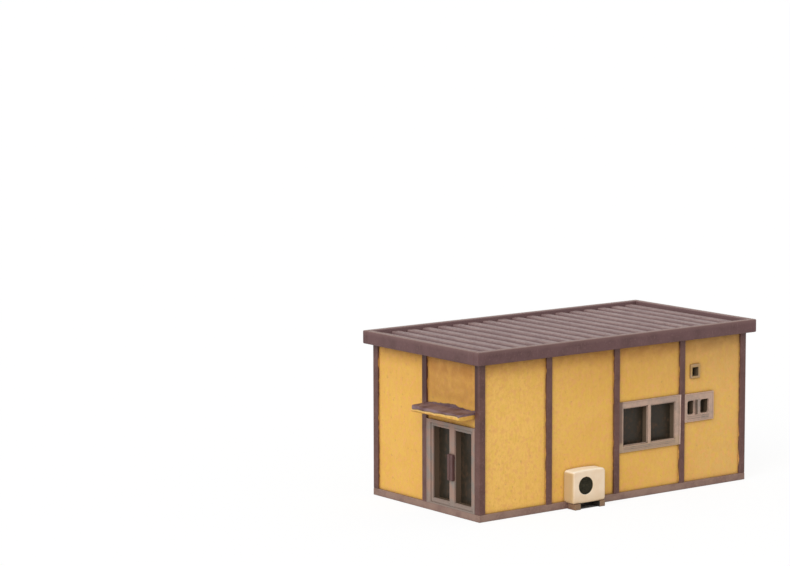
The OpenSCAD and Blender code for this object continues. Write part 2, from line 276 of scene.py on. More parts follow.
def yellow_paint(name="yellow_paint", light=YELLOW, warm=YELLOW_WARM, shine=None):
    f = Finish(name, 0.6, specular=0.3)
    blots = f.ramp(f.noise(3.2, 4), 0.38, 0.66)
    grain = f.noise(0.28, 3, stretch=(1, 1, 1.6))
    colour = f.mix(f.product(blots, 0.35), light, warm)
    # Painted light: the long sides are lighter towards the door end.
    long_sides = f.ramp(f.math("ABSOLUTE", f.y), PANEL_Y - 0.2, PANEL_Y - 0.05)
    near = f.product(f.ramp(f.x, -PANEL_X, 0.1 * PANEL_X, 0.75, 0.0), long_sides)
    colour = f.mix(near, colour, YELLOW_LIT)
    # Painted shade: duller and greyer towards the far end.
    colour = f.mix(f.ramp(f.x, 0.0, PANEL_X, 0.0, 0.45), colour, YELLOW_DIM)
    colour = f.mix(f.ramp(f.noise(0.8, 3), 0.46, 0.64, 0.0, 0.5), colour, YELLOW_LEMON)
    colour = f.mix(f.ramp(f.noise(0.6, 3), 0.50, 0.66, 0.0, 0.65), colour, YELLOW_PINK)
    colour = f.mix(f.ramp(grain, 0.42, 0.70, 0.0, 0.4), colour, warm)
    # Painted shade: a band under the eaves, shade that deepens up the walls towards the far end, and
    # the shaded bay over the canopy, all in patches.
    patchy_shading = f.ramp(f.noise(1.1, 4, rough=0.6), 0.3, 0.65, 0.7, 1.0)
    eaves_shade = f.ramp(f.z, EAVES - 2.8, EAVES - 0.3, 0.0, 0.55)
    far = f.ramp(f.x, -PANEL_X, PANEL_X, 0.15, 0.6)
    falloff_shade = f.product(f.ramp(f.z, EAVES - 9.0, EAVES), far)
    falloff_shade = f.math("MAXIMUM", falloff_shade, f.product(shaded_bay(f), 0.8))
    shade = f.product(f.math("ADD", eaves_shade, falloff_shade, clamp=True), patchy_shading)
    in_shade = f.mix(f.ramp(f.x, 0.0, PANEL_X), YELLOW_SHADE, YELLOW_SHADE_FAR)
    colour = f.mix(shade, colour, in_shade)
    flecks = f.ramp(f.noise(0.55, 2), 0.66, 0.74, 0.0, 0.5)
    colour = f.mix(flecks, colour, FLECK)
    specks = f.ramp(f.noise(0.4, 1), 0.80, 0.83, 0.0, 0.8)
    colour = f.mix(specks, colour, PALE_SPECK)
    # Painted highlight on faces turned up, painted shade on faces turned down.
    if shine is not None:
        normal = f.split(f.normal())
        colour = f.mix(f.ramp(normal[2], 0.15, 0.7), colour, shine)
        colour = f.mix(f.ramp(normal[2], -0.1, -0.7), colour, LIP_UNDER_SHADE)
    depth = f.above_panels()
    # Painted shade on the panels' own faces, less on what stands out of them.
    colour = f.mix(f.ramp(depth, 0.0, 0.02, 0.16, 0.0), colour, YELLOW_SHADE)
    # Painted shade deep in corners and under what stands out.
    colour = f.mix(f.product(f.corner(0.55), 0.75), colour, CORNER_SHADE)
    colour = f.mix(f.ramp(depth, -0.10, -0.04), REVEAL, colour)
    height = f.math("ADD", grain, f.noise(0.9, 3))
    return f.finish(colour, height, 0.02, f.ramp(blots, 0, 1, 0.55, 0.68))


def unit_shadow_area(f):
    """1 on what faces the gap between the outdoor unit's feet, where its shadow is painted, 0
    elsewhere.
    """
    near, far = box_mm("unit_foot_1"), box_mm("unit_foot_2")
    inside = f.product(f.ramp(f.x, near[1].x - 0.06, near[1].x - 0.02),
                       f.ramp(f.x, far[0].x + 0.06, far[0].x + 0.02))
    front = f.product(f.ramp(f.y, -PANEL_Y, -PANEL_Y - 0.1), f.ramp(f.z, BASE + 0.1, BASE))
    return f.product(inside, front)


def inside_rim(f):
    """1 on the rims' inner sides over the roof deck, 0 elsewhere."""
    high = box_mm("roof_deck")[1]
    return f.product(f.ramp(f.math("ABSOLUTE", f.x), high.x + 0.10, high.x + 0.02),
                     f.ramp(f.math("ABSOLUTE", f.y), high.y + 0.10, high.y + 0.02))


def brown_plastic(name, base, dark, light, top=None):
    f = Finish(name, 0.5, specular=0.35)
    blots = f.ramp(f.noise(2.2, 4), 0.30, 0.62)
    colour = f.mix(blots, dark, base)
    grain = f.noise(0.3, 3)
    colour = f.mix(f.ramp(grain, 0.5, 0.72, 0.0, 0.45), colour, light)
    scratches = f.ramp(f.noise(0.16, 1, stretch=(1, 1, 9)), 0.70, 0.76, 0.0, 0.5)
    colour = f.mix(scratches, colour, light)
    # Lighter on edges and corners, as painted highlight and as wear.
    colour = f.mix(f.product(f.edge(0.12), 0.7), colour, light)
    if top is not None:
        # Painted light: faces turned up are lighter, and the fascia is lighter towards its top.
        normal = f.split(f.normal())
        colour = f.mix(f.ramp(normal[2], 0.2, 0.9, 0.0, 0.9), colour, top)
        colour = f.mix(f.ramp(f.z, RIM - 0.7, RIM - 0.1, 0.0, 0.45), colour, BROWN_LIGHT)
        # Painted light on the rims' inner sides.
        colour = f.mix(f.product(inside_rim(f), 0.9), colour, RIM_INSIDE_LIT)
    # Painted shade deep in corners.
    colour = f.mix(f.product(f.corner(0.7), 0.3), colour, BROWN_DARK)
    colour = f.mix(f.product(shaded_bay(f), 0.85), colour, BROWN_UNLIT)
    # Painted shadow in the gap under the outdoor unit.
    colour = f.mix(unit_shadow_area(f), colour, UNIT_SHADOW)
    height = f.math("ADD", grain, f.noise(0.12, 2))
    return f.finish(colour, height, 0.012, f.ramp(grain, 0.3, 0.7, 0.45, 0.6))


def roof_plastic():
    f = Finish("roof_plastic", 0.5, specular=0.35)
    # Painted light on the ribs' tops, in patches, and painted shade in the grooves, by height.
    patchy_shading = f.noise(0.5, 4, stretch=(1, 5, 1))
    tops = f.mix(f.ramp(patchy_shading, 0.35, 0.65), RIB_DIM, RIB_LIT)
    on_top = f.ramp(f.z, RIB_TOP - 0.9 * RIB_H, RIB_TOP - 0.05)
    colour = f.mix(on_top, GROOVE_SHADE, tops)
    grain = f.noise(0.3, 3)
    colour = f.mix(f.ramp(grain, 0.52, 0.75, 0.0, 0.45), colour, BROWN)
    return f.finish(colour, grain, 0.015, f.ramp(grain, 0.3, 0.7, 0.45, 0.6))


def grey_paint(name, light, dull, warm=GREY_WARM, reveal=REVEAL, shaded=()):
    """Pinkish grey paint; each of shaded is an axis, where it is dull, where not, and the colour."""
    f = Finish(name, 0.55, specular=0.3)
    blots = f.ramp(f.noise(1.6, 3), 0.35, 0.6)
    colour = f.mix(blots, dull, light)
    colour = f.mix(f.ramp(f.noise(0.35, 3), 0.45, 0.7, 0.0, 0.5), colour, warm)
    for axis, dull_at, clear_at, shade in shaded:
        colour = f.mix(f.ramp((f.x, f.y, f.z)[axis], clear_at, dull_at, 0.0, 0.8), colour, shade)
    # Painted shade deep in corners.
    colour = f.mix(f.product(f.corner(0.3), 0.7), colour, GREY_DEEP_SHADE)
    colour = f.mix(f.ramp(f.above_panels(), -0.16, -0.05), reveal, colour)
    grain = f.noise(0.2, 3)
    return f.finish(colour, grain, 0.012)


def smoked_glazing():
    f = Finish("smoked_glazing", 0.4, specular=0.2)
    blots = f.ramp(f.noise(0.7, 3), 0.40, 0.72)
    streaks = f.ramp(f.noise(0.4, 2, stretch=(1, 1, 5)), 0.4, 0.7, 0.3, 1.0)
    colour = f.mix(f.product(blots, streaks), GLASS, GLASS_BROWN)
    return f.finish(colour, f.noise(1.0, 2), 0.01, f.ramp(blots, 0, 1, 0.35, 0.5))


def cream_plastic():
    f = Finish("cream_plastic", 0.5, specular=0.35)
    blots = f.ramp(f.noise(1.2, 3), 0.35, 0.7)
    colour = f.mix(f.product(blots, 0.5), CREAM, CREAM_WARM)
    # Painted shade on the sides, in corners and towards the bottom; painted light on the top.
    normal = f.split(f.normal())
    turned = f.ramp(f.math("ABSOLUTE", normal[0]), 0.3, 0.95)
    colour = f.mix(f.product(turned, 0.9), colour, CREAM_SHADE)
    colour = f.mix(f.ramp(normal[2], 0.3, 0.9), colour, CREAM_LIT_TOP)
    colour = f.mix(f.product(f.corner(0.3), 0.4), colour, CREAM_SHADE)
    foot = box_mm("unit_case")[0].z
    colour = f.mix(f.ramp(f.z, foot + 1.6, foot, 0.0, 0.4), colour, CREAM_SHADE)
    grain = f.noise(0.25, 3)
    return f.finish(colour, grain, 0.01)


def dark_plastic(name, dark, dusty):
    f = Finish(name, 0.7, specular=0.15)
    grain = f.noise(0.2, 3)
    return f.finish(f.mix(f.ramp(grain, 0.45, 0.75), dark, dusty), grain, 0.01)


YELLOW_PAINT = yellow_paint()
# The creep's paint, darker as painted shade.
CREEP_SHADED_PAINT = yellow_paint("yellow_paint_edge_shaded", YELLOW_EDGE_SHADE, YELLOW_SHADE)
LIP_PAINT = yellow_paint("lip_paint", YELLOW_LIP, YELLOW_EDGE_SHADE, LIP_SHINE)
BROWN_PLASTIC = brown_plastic("brown_plastic", BROWN, BROWN_DARK, BROWN_LIGHT, BROWN_LIT_TOP)
FRAMING_PLASTIC = brown_plastic("framing_plastic", FRAMING, FRAMING_DARK, BROWN_LIGHT)
STRIP_PLASTIC = brown_plastic("strip_plastic", STRIP, STRIP_DARK, STRIP_LIGHT)
CANOPY_PLASTIC = brown_plastic("canopy_plastic", CANOPY, BROWN, BROWN_LIGHT)
HANDLE_PLASTIC = brown_plastic("handle_plastic", HANDLE, FRAMING_DARK, FRAMING)
FOOT_PLASTIC = brown_plastic("foot_plastic", FOOT, FRAMING, STRIP)
ROOF_PLASTIC = roof_plastic()
WINDOW_LOW = box_mm("window_frame")[0]
WINDOW_SHADE = [(0, WINDOW_LOW.x + 0.36, WINDOW_LOW.x + 0.80, JAMB_SHADE),
                (2, WINDOW_LOW.z + 1.0, WINDOW_LOW.z + 1.6, SILL_SHADE)]
DOOR_SHADE = [(2, BASE + 0.6, BASE + 1.6, DOOR_DULL)]
GREY_PAINT = grey_paint("grey_paint", GREY, GREY_COOL)
WINDOW_PAINT = grey_paint("window_paint", GREY, GREY_COOL, shaded=WINDOW_SHADE)
GREY_LIGHT_PAINT = grey_paint("grey_paint_light", GREY_WARM, GREY)
GREY_COOL_PAINT = grey_paint("grey_paint_cool", GREY_COOL, GREY_DULL)
DOOR_PAINT = grey_paint("door_paint", GREY_DOOR, GREY_DULL, GREY_DOOR, REVEAL_DOOR, DOOR_SHADE)
VENT_PAINT = grey_paint("vent_paint", GREY_VENT, GREY_COOL, GREY_VENT)
# A copy of the grey paint in painted shade.
SHADED_GREY_PAINT = grey_paint("shaded_grey_paint", GREY_SHADE, GREY_DEEP_SHADE, GREY_SHADE)
LAP_PAINT = grey_paint("lap_paint", GREY_PINK, GREY_WARM, GREY_PINK)
SMOKED_GLAZING = smoked_glazing()
CREAM_PLASTIC = cream_plastic()
DARK_PLASTIC = dark_plastic("dark_plastic", BLACK, BLACK_DUSTY)
HOLE_PLASTIC = dark_plastic("hole_plastic", HOLE, HOLE_DUSTY)

# ---- Making pieces ----


def round_edges(shape, radius, segments):
    """Joins the mesh's split corners, then rounds its edges by the given radius."""
    weld = shape.modifiers.new("joined", "WELD")
    weld.merge_threshold = 0.001 * MM
    bevel = shape.modifiers.new("rounded", "BEVEL")
    bevel.width = radius * MM
    bevel.segments = segments
    bevel.limit_method = "ANGLE"
    bevel.angle_limit = math.radians(30)


def dress(material, *nodes, edge=0.0, segments=2):
    """Gives CAD nodes a material, and rounds their edges by the given radius."""
    for node in nodes:
        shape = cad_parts[node]
        shape.data.materials.clear()
        shape.data.materials.append(material)
        if edge:
            round_edges(shape, edge, segments)


def piece(name, material, bm, edge=0.0, segments=2):
    """Makes a piece of the cabin from a mesh in millimetres."""
    bmesh.ops.recalc_face_normals(bm, faces=bm.faces)
    bm.transform(Matrix.Scale(MM, 4))
    mesh = bpy.data.meshes.new(name)
    bm.to_mesh(mesh)
    bm.free()
    mesh.materials.append(material)
    shape = bpy.data.objects.new(name, mesh)
    bpy.context.scene.collection.objects.link(shape)
    if edge:
        round_edges(shape, edge, segments)
    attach(shape, BODY)
    return shape


def join(bm, loops, closed=False):
    """Faces between neighbouring loops of points, and from the last to the first where closed."""
    rings = [[bm.verts.new(point) for point in loop] for loop in loops]
    for below, above in zip(rings, rings[1:] + (rings[:1] if closed else [])):
        count = len(below)
        for i in range(count):
            j = (i + 1) % count
            bm.faces.new((below[i], below[j], above[j], above[i]))
    return rings


def solid(bm, loops):
    """A closed solid through loops of points, with a cap at each end."""
    rings = join(bm, loops)
    bm.faces.new(rings[0])
    bm.faces.new(rings[-1][::-1])


def outline_at(side, outline, out):
    """Points along an outline of (u, z), at one distance out."""
    return [side.at(u, out, z) for u, z in outline]


def rectangle(area):
    """The corners of an area (u_low, u_high, z_low, z_high)."""
    u_low, u_high, z_low, z_high = area
    return (u_low, z_low), (u_high, z_low), (u_high, z_high), (u_low, z_high)


def block(bm, side, area, low, high):
    """A block over an area, between two distances out."""
    solid(bm, [outline_at(side, rectangle(area), out) for out in (low, high)])


def ring(bm, side, outer, inner, low, high):
    """A rectangular ring between two areas, and between two distances out."""
    places = ((outer, low), (outer, high), (inner, high), (inner, low))
    join(bm, [outline_at(side, rectangle(area), out) for area, out in places], closed=True)


def block_piece(name, material, side, area, low, high, edge):
    """A piece of grey paint that is one block."""
    bm = bmesh.new()
    block(bm, side, area, low, high)
    piece(name, material, bm, edge=edge)


def grown(area, by):
    """An area made larger on every side, or smaller where by is negative."""
    u_low, u_high, z_low, z_high = area
    return u_low - by, u_high + by, z_low - by, z_high + by


def waver(size, *place):
    """A smooth wave of about the given size. A place is counted in wavelengths."""
    return size * noise.noise(Vector(place))


def bell(distance, half_width):
    """1 where the distance is 0, and fading to 0 on both sides."""
    return math.exp(-(distance / half_width) ** 2)


# ---- The four sides ----
# On each side, u runs along the wall and out is the distance in front of its panels.


class Side:
    """One side of the cabin, with the places of its framing."""

    def __init__(self, name, posts, battens, fittings=()):
        self.name = name
        self.long = name in ("front", "rear")
        self.sign = -1 if name in ("front", "door_end") else 1
        bounds = sorted(self.span(node) for node in posts + battens)
        self.bays = [(a[1], b[0]) for a, b in zip(bounds, bounds[1:])]
        self.fittings = [self.span(node) + self.heights(node) for node in fittings]

    def span(self, node):
        low, high = box_mm(node)
        return (low.x, high.x) if self.long else (low.y, high.y)

    def heights(self, node):
        low, high = box_mm(node)
        return low.z, high.z

    def at(self, u, out, z):
        if self.long:
            return Vector((u, self.sign * (PANEL_Y + out), z))
        return Vector((self.sign * (PANEL_X + out), u, z))


FRONT = Side("front", ["front_door_end_post", "front_far_end_post"],
             ["front_batten_1", "front_batten_2", "front_batten_3"],
             ["window_frame", "small_window_frame", "vent_frame"])
REAR = Side("rear", ["rear_door_end_post", "rear_far_end_post"],
            ["rear_batten_1", "rear_batten_2", "rear_batten_3"])
DOOR_END = Side("door_end", ["front_door_end_post", "rear_door_end_post"],
                ["door_end_batten"], ["door_frame", "canopy"])
FAR_END = Side("far_end", ["front_far_end_post", "rear_far_end_post"], ["far_end_batten"])
SIDES = [FRONT, REAR, DOOR_END, FAR_END]

# Fine vertical ribs moulded in the panels
FINE_PITCH = 0.22
FINE_FOOT = 0.15
FINE_TOP = 0.06
FINE_OUT_TOP = 0.035  # how far a rib stands out under the eaves
FINE_OUT_LOW = 0.012  # and near the base
FINE_STEPS = 6
BITE = 0.02  # how deep added pieces sit in what they stand on
SOFT = 0.02  # rounding of the painted edges of added pieces
CRISP = 0.015  # and of the finer ones


def free_heights(side, u):
    """The stretches of a panel's height that no frame covers."""
    stops = [BASE]
    for u_low, u_high, z_low, z_high in sorted(side.fittings, key=lambda item: item[2]):
        if u_low - FINE_FOOT < u < u_high + FINE_FOOT:
            stops += [z_low, z_high]
    stops.append(EAVES)
    pairs = [(max(a, BASE), b) for a, b in zip(stops[::2], stops[1::2])]
    return [(a, b) for a, b in pairs if b - a > FINE_PITCH]


def fine_rib(bm, side, u, low, high):
    """One rib, whose height fades downwards and wavers a little."""
    loops = []
    for step in range(FINE_STEPS + 1):
        z = low + (high - low) * step / FINE_STEPS
        fade = (z - BASE) / (EAVES - BASE)
        out = FINE_OUT_LOW + (FINE_OUT_TOP - FINE_OUT_LOW) * fade * fade
        out *= 0.8 + waver(0.5, u * 1.7, z * 0.5, side.sign)
        outline = [(-FINE_FOOT / 2, -BITE), (-FINE_TOP / 2, out), (FINE_TOP / 2, out),
                   (FINE_FOOT / 2, -BITE)]
        loops.append([side.at(u + du, d, z) for du, d in outline])
    solid(bm, loops)


def panel_ribs(side):
    bm = bmesh.new()
    for start, end in side.bays:
        count = int((end - start) / FINE_PITCH) - 1
        first = (start + end) / 2 - (count - 1) / 2 * FINE_PITCH
        for i in range(count):
            u = first + i * FINE_PITCH
            for low, high in free_heights(side, u):
                fine_rib(bm, side, u, low, high)
    piece(side.name + "_panel_ribs", YELLOW_PAINT, bm)


# Yellow paint that has crept up the sides of the battens, darker as painted shade on those sides
CREEP_STEP = 0.2
CREEP_MEAN = 0.06
CREEP_WAVE = 0.28
CREEP_MIN = 0.01
CREEP_MAX = 0.30
CREEP_SKIN = 0.012


def creep_height(u, z):
    wave = waver(1.0, u, z * 0.5, 3.0) + waver(0.6, u, z * 1.5, 7.0)
    return min(max(CREEP_MEAN + CREEP_WAVE * wave, CREEP_MIN), CREEP_MAX)


def creep(bm, side, u, turn):
    """A wavy skin of paint up one side of a batten; turn is the way that it faces."""
    steps = int((EAVES - BASE) / CREEP_STEP)
    loops = []
    for step in range(steps + 1):
        z = BASE + (EAVES - BASE) * step / steps
        climb = creep_height(u, z)
        outline = [(-BITE, -BITE), (2 * CREEP_SKIN, -BITE), (CREEP_SKIN, climb), (-BITE, climb)]
        loops.append([side.at(u + turn * du, d, z) for du, d in outline])
    solid(bm, loops)


def paint_creep(side):
    bm = bmesh.new()
    for start, end in side.bays:
        creep(bm, side, start, 1)
        creep(bm, side, end, -1)
    piece(side.name + "_paint_creep", CREEP_SHADED_PAINT, bm)


# ---- Frames of the windows, the vent and the door ----


def levels(node, axis):
    """The distinct places of a node's corners along an axis, from the lowest up."""
    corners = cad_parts[node].data.vertices
    return sorted({round(corner.co[axis] / MM, 3) for corner in corners})


LIP_W = 0.13  # raised lip round the outside of a frame
LIP_OUT = 0.05
SASH = (0.05, 0.14, 0.12)  # sash edges beside, above and below a big pane
SMALL_SASH = (0.03, 0.03, 0.03)  # and round a small one
SASH_BACK = 0.10  # how far the sashes are set back
SASH_T = 0.16
TRACK_OUT = 0.05  # ridges of the sliding tracks on the sill
TRACK_W = 0.07
TRACKS_AT = (0.42, 0.72)  # shares of the sill's height
COVER_OUT = 0.04  # cover strip on the meeting stile
COVER_LAP = 0.05  # how far it runs past the panes
OVERPAINT = 0.21  # frame paint that laps over the batten's edge
OVERPAINT_SKIN = (0.012, 0.008)  # its thickness by the frame, and at its far edge
OVERPAINT_STEPS = 24


def frame_face(node):
    """How far a frame on the front stands out from the panel."""
    return -box_mm(node)[0].y - PANEL_Y


def sliding_window(node, name, paint, sash):
    """Lip, sashes and tracks of a window; returns its two panes' areas and how far its frame stands
    out.
    """
    u, z = levels(node, 0), levels(node, 2)
    out = frame_face(node)
    panes = [(u[2], u[3], z[2], z[3]), (u[4], u[5], z[2], z[3])]
    outside = (u[0], u[-1], z[0], z[-1])

    bm = bmesh.new()
    ring(bm, FRONT, outside, grown(outside, -LIP_W), out - BITE, out + LIP_OUT)
    piece(name + "_lip", paint, bm, edge=SOFT)

    bm = bmesh.new()
    for order, pane in enumerate(panes):
        face = out - SASH_BACK * (2 - order)
        side, top, foot = sash
        clear = (pane[0] + side, pane[1] - side, pane[2] + foot, pane[3] - top)
        ring(bm, FRONT, grown(pane, BITE), clear, face - SASH_T, face)
    piece(name + "_sashes", GREY_PAINT, bm, edge=CRISP)

    bm = bmesh.new()
    sill = z[2] - z[0]
    for share in TRACKS_AT:
        at = z[0] + sill * share
        block(bm, FRONT, (u[2], u[5], at, at + TRACK_W), out - BITE, out + TRACK_OUT)
    piece(name + "_tracks", GREY_COOL_PAINT, bm, edge=SOFT)
    return panes, out


def big_window():
    panes, out = sliding_window("window_frame", "window", WINDOW_PAINT, SASH)
    left, right = panes
    middle = (left[1] + right[0]) / 2
    cover = (left[1] + BITE, middle, left[2] - COVER_LAP, left[3] + COVER_LAP)
    block_piece("window_stile_cover", GREY_LIGHT_PAINT, FRONT, cover, out - BITE, out + COVER_OUT,
                SOFT)

    bm = bmesh.new()
    low, high = box_mm("window_frame")
    framing = frame_face("front_batten_3")
    near, far = OVERPAINT_SKIN
    loops = []
    for step in range(OVERPAINT_STEPS + 1):
        share = step / OVERPAINT_STEPS
        z = low.z + (high.z - low.z) * share
        lap = OVERPAINT * (0.55 + 0.45 * share) + waver(0.05, 1.0, z, 5.0)
        outline = [(-BITE, out - BITE), (-near, framing + near), (lap, framing + far),
                   (lap, framing - BITE), (BITE, framing - BITE), (BITE, out - BITE)]
        loops.append([FRONT.at(high.x + du, d, z) for du, d in outline])
    solid(bm, loops)
    piece("window_jamb_overpaint", LAP_PAINT, bm)


PANE_CORNER = 0.36  # radius of the small window's pane corners
GROOVE_AT = 0.32  # share of the small stile left of its dark groove
GROOVE_W = 0.17
GROOVE_OUT = 0.006  # the dark strip in it, over the frame's face
PANE_STEPS = 6


def pane_corners(bm, side, pane, low, high):
    """Fills a pane's four corners, leaving round ones."""
    u_low, u_high, z_low, z_high = pane
    for u, turn_u in ((u_low, 1), (u_high, -1)):
        for z, turn_z in ((z_low, 1), (z_high, -1)):
            outline = [(u - turn_u * BITE, z - turn_z * BITE)]
            for step in range(PANE_STEPS + 1):
                angle = math.pi / 2 * step / PANE_STEPS
                outline.append((u + turn_u * PANE_CORNER * (1 - math.sin(angle)),
                                z + turn_z * PANE_CORNER * (1 - math.cos(angle))))
            solid(bm, [outline_at(side, outline, out) for out in (low, high)])


def small_window():
    panes, out = sliding_window("small_window_frame", "small_window", GREY_LIGHT_PAINT, SMALL_SASH)
    left, right = panes
    bm = bmesh.new()
    for pane in panes:
        pane_corners(bm, FRONT, pane, out - 2 * SASH_BACK - SASH_T - BITE, out - BITE)
    piece("small_window_pane_corners", GREY_PAINT, bm)

    stile = right[0] - left[1]
    groove = left[1] + stile * GROOVE_AT
    heights = (left[2] - COVER_LAP, left[3] + COVER_LAP)
    for name, paint, span in (
            ("small_window_stile_batten_side", SHADED_GREY_PAINT, (left[1] + BITE, groove)),
            ("small_window_stile_far_side", GREY_COOL_PAINT, (groove + GROOVE_W, right[0] - BITE))):
        block_piece(name, paint, FRONT, span + heights, out - BITE, out + COVER_OUT, CRISP)
    bm = bmesh.new()
    block(bm, FRONT, (groove - BITE, groove + GROOVE_W + BITE) + heights, out - BITE, out + GROOVE_OUT)
    piece("small_window_groove", DARK_PLASTIC, bm)


HOLE_BACK = 0.08  # how far behind the vent's face its dark hole starts
HOLE_DEPTH = 1.0
VENT_PAINT_T = 0.17  # thickness of the paint in the top of the hole
VENT_PAINT_BACK = 0.03


def vent():
    """A lining that makes the vent's hole dark, and thick paint along the top of the hole."""
    u, z = levels("vent_frame", 0), levels("vent_frame", 2)
    out = frame_face("vent_frame")
    hole = (u[2], u[3], z[2], z[3])
    bm = bmesh.new()
    ring(bm, FRONT, grown(hole, BITE), grown(hole, -BITE), out - HOLE_DEPTH, out - HOLE_BACK)
    piece("vent_hole_lining", HOLE_PLASTIC, bm)
    top = (hole[0] - BITE, hole[1] + BITE, hole[3] - VENT_PAINT_T, hole[3] + BITE)
    block_piece("vent_top_paint", VENT_PAINT, FRONT, top, out - HOLE_BACK - BITE,
                out - VENT_PAINT_BACK, SOFT)


BEAD_W = 0.09  # glazing beads round the door's panes
BEAD_BACK = 0.06
BEAD_T = 0.10
FRAME_LIP = 0.12
PANEL_OUT = 0.03  # raised panels on the leaves' rails, and the frame's lip
KICK_REACH, KICK_MARGIN = 0.10, 0.16  # the panel under the pane: past the pane, and its margin
HEAD_REACH, HEAD_LOW, HEAD_HIGH = 0.05, 0.08, 0.22  # the one over the pane


def door_leaf(node):
    """Glazing beads, and raised panels on the rails under and over the pane."""
    u, z = levels(node, 1), levels(node, 2)
    face = -box_mm(node)[0].x - PANEL_X
    pane = (u[1], u[2], z[1], z[2])
    bm = bmesh.new()
    ring(bm, DOOR_END, grown(pane, BITE), grown(pane, -BEAD_W), face - BEAD_BACK - BEAD_T,
         face - BEAD_BACK)
    piece(node + "_bead", DOOR_PAINT, bm, edge=CRISP)
    bm = bmesh.new()
    kick = (u[1] - KICK_REACH, u[2] + KICK_REACH, z[0] + KICK_MARGIN, z[1] - KICK_MARGIN)
    head = (u[1] - HEAD_REACH, u[2] + HEAD_REACH, z[2] + HEAD_LOW, z[2] + HEAD_HIGH)
    for area in (kick, head):
        block(bm, DOOR_END, area, face - BITE, face + PANEL_OUT)
    piece(node + "_rail_panel", DOOR_PAINT, bm, edge=CRISP)


def door():
    for node in ("door_front_leaf", "door_rear_leaf"):
        door_leaf(node)
    low, high = box_mm("door_frame")
    outside = (low.y, high.y, low.z, high.z)
    face = -low.x - PANEL_X
    bm = bmesh.new()
    ring(bm, DOOR_END, outside, grown(outside, -FRAME_LIP), face - BITE, face + PANEL_OUT)
    piece("door_frame_lip", DOOR_PAINT, bm, edge=CRISP)


STANDOFF = 0.12  # how far the handles' feet stand out from the leaves
HANDLE_FOOT_AT = 0.45  # their middles, from a handle's ends
HANDLE_FOOT_HALF = 0.16
HANDLE_FOOT_SIDE = 0.05  # how much wider than the handle they are


def door_handles():
    """Feet that carry each pull handle on its stile."""
    bm = bmesh.new()
    face = -box_mm("door_front_leaf")[0].x - PANEL_X
    for node in ("door_front_handle", "door_rear_handle"):
        low, high = box_mm(node)
        for z in (low.z + HANDLE_FOOT_AT, high.z - HANDLE_FOOT_AT):
            foot = (low.y - HANDLE_FOOT_SIDE, high.y + HANDLE_FOOT_SIDE,
                    z - HANDLE_FOOT_HALF, z + HANDLE_FOOT_HALF)
            block(bm, DOOR_END, foot, face - BITE, face + STANDOFF)
    piece("door_handle_feet", HANDLE_PLASTIC, bm, edge=0.04)


# ---- Canopy ----

RAGGED_STEP = 0.12
CANOPY_FALL = 0.10  # how much lower its front is than its back
CANOPY_CORNER = 0.32  # radius of the canopy's corners, seen from above
CANOPY_EDGE = 0.16  # radius of its front edges
LIP_EDGE = 0.24  # and of the bare lip's
LIP_PROUD = 0.12  # how far the bare lip stands out under the paint
PAINT_DROP = 0.06  # how far below the boards' joint the paint stops
PAINT_RISE = 0.34  # how much higher it stops by the corner post
PAINT_CURVE = 1.3  # how fast it comes down from there
PAINT_RUN = 0.20  # how far a drop of it runs down at that corner
RUN_HALF = 0.14
SLAB_MIN = 0.12  # least thickness of the painted slab
LIP_UNDER_PAINT = 0.03  # how far the lip goes up behind the paint
OVERPAINT_T = 0.05  # thickness of the brown paint on the wall
OVERPAINT_FOOT = 0.15  # how far it starts below the slab's top
CLIMB = 0.06  # how far it climbs above it
SWELL = 0.34  # how much farther near the middle
SWELL_AT, SWELL_HALF = 0.52, 0.26  # shares of the canopy's width
BOARD_STEPS = 60
EDGE_STEPS = 5


def board_profile(reach, top, low, edge):
    """A board's section, as distances out and heights, from its back along its top."""
    edge = min(edge, (top - low) / 2)
    angles = [math.pi / 2 * step / EDGE_STEPS for step in range(EDGE_STEPS + 1)]
    upper = [(reach - edge * (1 - math.sin(angle)),
              top - CANOPY_FALL - edge * (1 - math.cos(angle))) for angle in angles]
    lower = [(reach - edge * (1 - math.cos(angle)),
              low - CANOPY_FALL + edge * (1 - math.sin(angle))) for angle in angles]
    return [(-BITE, top)] + upper + lower + [(-BITE, low)]


def board(name, material, ends, reach, edge, heights):
    """A board along the door end; heights gives its top and underside at each place."""
    bm = bmesh.new()
    loops = []
    for step in range(BOARD_STEPS + 1):
        share = (1 - math.cos(math.pi * step / BOARD_STEPS)) / 2
        u = ends[0] + (ends[1] - ends[0]) * share
        inset = min(u - ends[0], ends[1] - u)
        short = CANOPY_CORNER - math.sqrt(max(CANOPY_CORNER ** 2
                                              - max(CANOPY_CORNER - inset, 0) ** 2, 0))
        top, low = heights(u, share)
        section = board_profile(reach - short, top, low, edge)
        loops.append([DOOR_END.at(u, out, z) for out, z in section])
    solid(bm, loops)
    return piece(name, material, bm)


